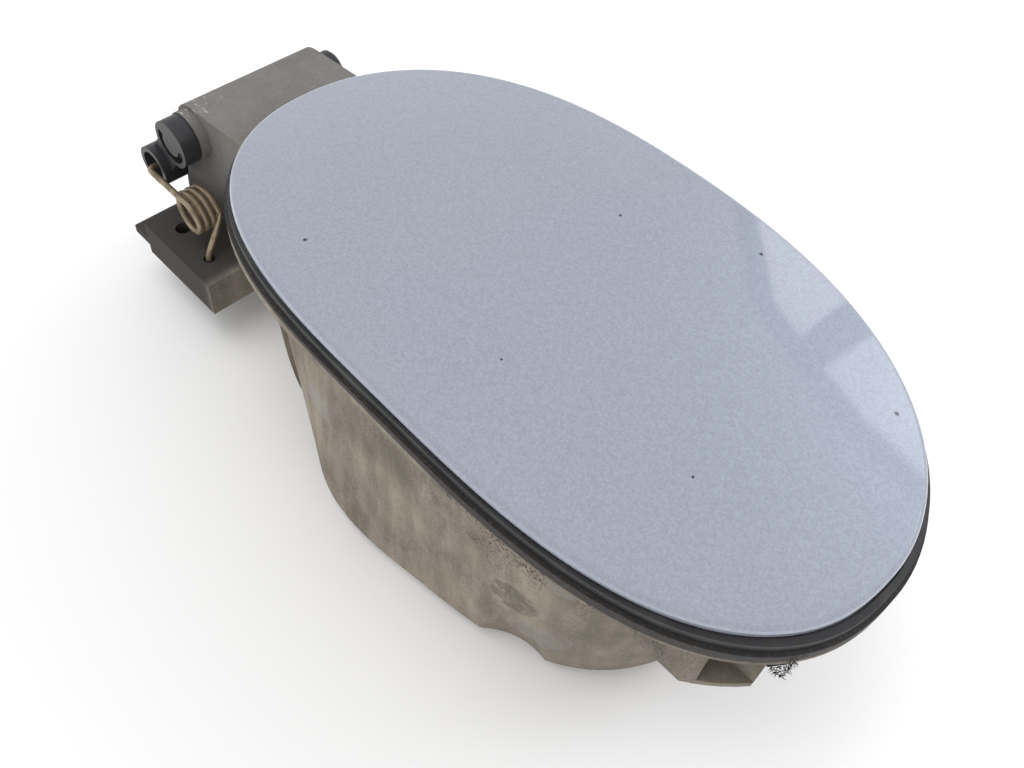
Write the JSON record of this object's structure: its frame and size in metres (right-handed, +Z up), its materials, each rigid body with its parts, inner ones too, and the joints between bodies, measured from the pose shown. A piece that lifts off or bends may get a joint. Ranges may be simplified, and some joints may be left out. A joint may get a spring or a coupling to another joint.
{
  "type": "fuel filler flap assembly",
  "caption": "Oval silver-blue fuel filler flap, shut on its dusty moulded plastic pocket, with a hooded hinge, black spring lever and over-centre spring at one end",
  "frame": {"origin": "on the filler neck's axis, in the plane of the pocket's base", "axes": "+X from the hinge end to the latch end, +Y across the flap, +Z up out of the pocket through the flap"},
  "size_m": [0.2573, 0.1174, 0.0965],
  "materials": {
    "silver_paint": "metallic clearcoat with small stone chips",
    "dusty_plastic": "moulded plastic under brown-grey road dust, wiped in places",
    "black_rubber": "satin black rubber, dusty",
    "black_plastic": "satin black plastic",
    "black_felt": "frayed felt",
    "spring_steel": "dull wire, dusty",
    "plated_steel": "zinc plated"
  },
  "bodies": {
    "housing": {"housing": "dusty_plastic", "rim_gasket": "black_rubber", "neck_collar": "black_rubber", "felt_pad": "black_felt", "over_centre_spring": "spring_steel"},
    "flap": {"flap_skin": "silver_paint", "flap_inner": "silver_paint", "hinge_arm": "black_plastic", "arm_screws": "plated_steel", "hinge_shaft": "plated_steel", "spring_lever": "black_plastic", "shaft_cap": "black_plastic", "latch_striker": "black_plastic"}
  },
  "joints": [
    {"name": "flap_hinge", "type": "hinge", "parent": "housing", "child": "flap", "pos_m": [-0.132, 0.002, 0.0624], "axis": [0, -1, 0], "range_deg": [0, 95], "deforming": ["over_centre_spring"]}
  ]
}
